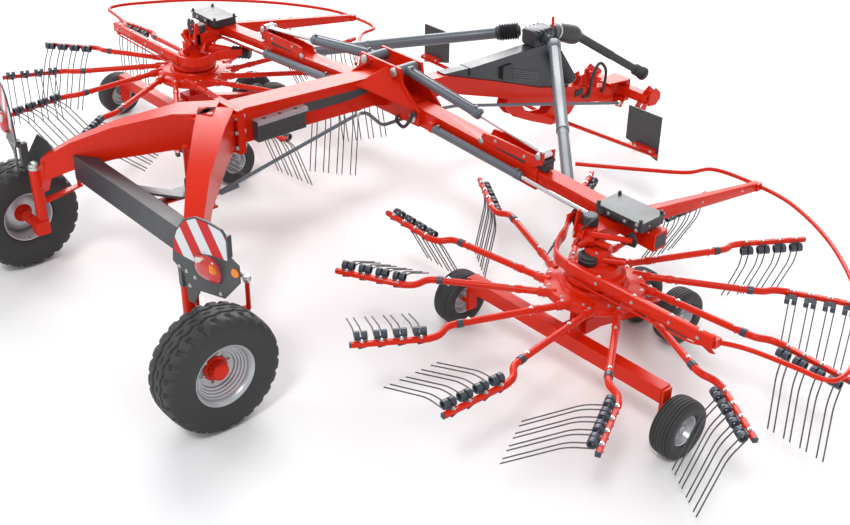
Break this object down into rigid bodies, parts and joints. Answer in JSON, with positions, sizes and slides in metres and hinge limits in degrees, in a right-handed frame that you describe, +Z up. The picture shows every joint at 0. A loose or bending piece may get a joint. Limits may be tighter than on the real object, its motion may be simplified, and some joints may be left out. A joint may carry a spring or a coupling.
{
  "type": "twin rotor hay rake",
  "caption": "Towed hay rake with a steered chassis, folding booms and tined rotors that leave a swath along the middle.",
  "frame": {"origin": "on the ground under the middle of the machine's length and width", "axes": "+X to the machine's right along both booms, +Y forwards to the tractor, +Z up"},
  "size_m": [8.6078, 6.0225, 1.5],
  "materials": {
    "red_paint": "glossy red enamel",
    "grey_paint": "satin dark grey paint",
    "tyre_rubber": "matte black rubber",
    "rim_silver": "silver wheel paint",
    "chrome_steel": "polished rod",
    "shaft_guard": "dark grey guard and paint",
    "board_white": "white board with red bands"
  },
  "bodies": {
    "chassis": {"rear_fork": "red_paint", "cross_beam": "grey_paint", "main_beam": "red_paint", "drawbar": "red_paint", "gearbox_support": "grey_paint", "gearbox": "grey_paint", "pto_shaft": "shaft_guard", "front_guard": "grey_paint", "warning_board_right": "board_white", "warning_board_left": "board_white"},
    "yoke": {"hitch_yoke": "red_paint"},
    "stand": {"stand_leg": "red_paint"},
    "steer_link": {"steering_rod": "shaft_guard"},
    "lever": {"centre_lever": "red_paint"},
    "track_right": {"track_rod_right": "shaft_guard"},
    "knuckle_right": {"knuckle_right": "red_paint"},
    "big_wheel_right": {"big_tyre_right": "tyre_rubber", "big_rim_right": "rim_silver"},
    "boom_right": {"inner_boom_right": "red_paint", "width_barrel_right": "shaft_guard"},
    "lift_tube_right": {"lift_barrel_right": "shaft_guard"},
    "lift_stem_right": {"lift_rod_right": "chrome_steel"},
    "arm_right": {"outer_boom_right": "red_paint", "head_box_right": "grey_paint", "rotor_head_right": "red_paint", "guard_right": "red_paint", "undercarriage_right": "red_paint"},
    "shaft_right": {"drive_shaft_right": "shaft_guard"},
    "rotor_right": {"tine_rotor_right": "red_paint"},
    "outer_wheel_right": {"rear_wheel_outer_right": "tyre_rubber"},
    "inner_wheel_right": {"rear_wheel_inner_right": "tyre_rubber"},
    "front_pair_right": {"front_wheels_right": "tyre_rubber"},
    "track_left": {"track_rod_left": "shaft_guard"},
    "knuckle_left": {"knuckle_left": "red_paint"},
    "big_wheel_left": {"big_tyre_left": "tyre_rubber", "big_rim_left": "rim_silver"},
    "boom_left": {"inner_boom_left": "red_paint", "width_barrel_left": "shaft_guard"},
    "lift_tube_left": {"lift_barrel_left": "shaft_guard"},
    "lift_stem_left": {"lift_rod_left": "chrome_steel"},
    "arm_left": {"outer_boom_left": "red_paint", "head_box_left": "grey_paint", "rotor_head_left": "red_paint", "guard_left": "red_paint", "undercarriage_left": "red_paint"},
    "shaft_left": {"drive_shaft_left": "shaft_guard"},
    "rotor_left": {"tine_rotor_left": "red_paint"},
    "outer_wheel_left": {"rear_wheel_outer_left": "tyre_rubber"},
    "inner_wheel_left": {"rear_wheel_inner_left": "tyre_rubber"},
    "front_pair_left": {"front_wheels_left": "tyre_rubber"}
  },
  "joints": [
    {"name": "yoke_pivot", "type": "hinge", "parent": "chassis", "child": "yoke", "pos_m": [0, 2.74125, 0.475], "axis": [0, 0, 1], "range_deg": [-40, 40]},
    {"name": "stand_fold", "type": "hinge", "parent": "yoke", "child": "stand", "pos_m": [0.33, 2.83125, 0.355], "axis": [1, 0, 0], "range_deg": [-90, 0]},
    {"name": "rod_slide", "type": "slide", "parent": "chassis", "child": "steer_link", "axis": [0, 1, 0], "range_m": [-0.145, 0.145]},
    {"name": "lever_pivot", "type": "hinge", "parent": "chassis", "child": "lever", "pos_m": [0, -1.86875, 0.905], "axis": [0, 0, 1], "range_deg": [-30, 30]},
    {"name": "track_slide_right", "type": "slide", "parent": "chassis", "child": "track_right", "axis": [1, 0, 0], "range_m": [-0.115, 0.115]},
    {"name": "kingpin_right", "type": "hinge", "parent": "chassis", "child": "knuckle_right", "pos_m": [1.07, -2.55875, 0.64], "axis": [0, 0, 1], "range_deg": [-17, 17]},
    {"name": "wheel_spin_right", "type": "hinge", "parent": "knuckle_right", "child": "big_wheel_right", "pos_m": [1.371, -2.58875, 0.4225], "axis": [1, 0, 0], "continuous": true},
    {"name": "boom_hinge_right", "type": "hinge", "parent": "chassis", "child": "boom_right", "pos_m": [0.41, 0.03125, 1.13], "axis": [0, -1, 0], "range_deg": [-4, 75]},
    {"name": "lift_pin_right", "type": "hinge", "parent": "chassis", "child": "lift_tube_right", "pos_m": [0.181, 0.03125, 1.433], "axis": [0, -1, 0], "range_deg": [-4, 74]},
    {"name": "lift_stroke_right", "type": "slide", "parent": "lift_tube_right", "child": "lift_stem_right", "axis": [0.9928, 0, -0.1198], "range_m": [-0.47, 0.03]},
    {"name": "boom_slide_right", "type": "slide", "parent": "boom_right", "child": "arm_right", "axis": [0.9988, 0, -0.0499], "range_m": [-0.35, 0]},
    {"name": "shaft_joint_right", "type": "hinge", "parent": "chassis", "child": "shaft_right", "pos_m": [0.19, 1.71125, 1.2653], "axis": [-0.3933, -0.7881, 0.4735], "range_deg": [-5, 83]},
    {"name": "rotor_axis_right", "type": "hinge", "parent": "arm_right", "child": "rotor_right", "pos_m": [2.513, -0.27875, 0.665], "axis": [0, 0, 1], "continuous": true},
    {"name": "outer_wheel_spin_right", "type": "hinge", "parent": "arm_right", "child": "outer_wheel_right", "pos_m": [3.523, -0.56875, 0.205], "axis": [1, 0, 0], "continuous": true},
    {"name": "inner_wheel_spin_right", "type": "hinge", "parent": "arm_right", "child": "inner_wheel_right", "pos_m": [1.503, -0.56875, 0.205], "axis": [1, 0, 0], "continuous": true},
    {"name": "front_pair_spin_right", "type": "hinge", "parent": "arm_right", "child": "front_pair_right", "pos_m": [2.513, 0.46625, 0.205], "axis": [1, 0, 0], "continuous": true},
    {"name": "track_slide_left", "type": "slide", "parent": "chassis", "child": "track_left", "axis": [1, 0, 0], "range_m": [-0.115, 0.115]},
    {"name": "kingpin_left", "type": "hinge", "parent": "chassis", "child": "knuckle_left", "pos_m": [-1.07, -2.55875, 0.64], "axis": [0, 0, 1], "range_deg": [-17, 17]},
    {"name": "wheel_spin_left", "type": "hinge", "parent": "knuckle_left", "child": "big_wheel_left", "pos_m": [-1.371, -2.58875, 0.4225], "axis": [1, 0, 0], "continuous": true},
    {"name": "boom_hinge_left", "type": "hinge", "parent": "chassis", "child": "boom_left", "pos_m": [-0.41, 0.03125, 1.13], "axis": [0, 1, 0], "range_deg": [-4, 75]},
    {"name": "lift_pin_left", "type": "hinge", "parent": "chassis", "child": "lift_tube_left", "pos_m": [-0.181, 0.03125, 1.433], "axis": [0, 1, 0], "range_deg": [-4, 74]},
    {"name": "lift_stroke_left", "type": "slide", "parent": "lift_tube_left", "child": "lift_stem_left", "axis": [-0.9928, 0, -0.1198], "range_m": [-0.47, 0.03]},
    {"name": "boom_slide_left", "type": "slide", "parent": "boom_left", "child": "arm_left", "axis": [-0.9988, 0, -0.0499], "range_m": [-0.35, 0]},
    {"name": "shaft_joint_left", "type": "hinge", "parent": "chassis", "child": "shaft_left", "pos_m": [-0.19, 1.71125, 1.2653], "axis": [-0.3933, 0.7881, -0.4735], "range_deg": [-5, 83]},
    {"name": "rotor_axis_left", "type": "hinge", "parent": "arm_left", "child": "rotor_left", "pos_m": [-2.513, -0.27875, 0.665], "axis": [0, 0, 1], "continuous": true},
    {"name": "outer_wheel_spin_left", "type": "hinge", "parent": "arm_left", "child": "outer_wheel_left", "pos_m": [-3.523, -0.56875, 0.205], "axis": [1, 0, 0], "continuous": true},
    {"name": "inner_wheel_spin_left", "type": "hinge", "parent": "arm_left", "child": "inner_wheel_left", "pos_m": [-1.503, -0.56875, 0.205], "axis": [1, 0, 0], "continuous": true},
    {"name": "front_pair_spin_left", "type": "hinge", "parent": "arm_left", "child": "front_pair_left", "pos_m": [-2.513, 0.46625, 0.205], "axis": [1, 0, 0], "continuous": true}
  ],
  "couplings": [
    {"joint": "rod_slide", "follows": "yoke_pivot", "m_per_rad": 0.2},
    {"joint": "lever_pivot", "follows": "yoke_pivot", "ratio": 0.69},
    {"joint": "track_slide_right", "follows": "yoke_pivot", "m_per_rad": 0.1587},
    {"joint": "kingpin_right", "follows": "yoke_pivot", "ratio": -0.4176},
    {"joint": "lift_pin_right", "follows": "boom_hinge_right", "ratio": 0.9628},
    {"joint": "lift_stroke_right", "follows": "boom_hinge_right", "m_per_rad": -0.3501},
    {"joint": "shaft_joint_right", "follows": "boom_hinge_right", "ratio": 1.0844},
    {"joint": "track_slide_left", "follows": "yoke_pivot", "m_per_rad": 0.1587},
    {"joint": "kingpin_left", "follows": "yoke_pivot", "ratio": -0.4176},
    {"joint": "lift_pin_left", "follows": "boom_hinge_left", "ratio": 0.9628},
    {"joint": "lift_stroke_left", "follows": "boom_hinge_left", "m_per_rad": -0.3501},
    {"joint": "shaft_joint_left", "follows": "boom_hinge_left", "ratio": 1.0844}
  ]
}
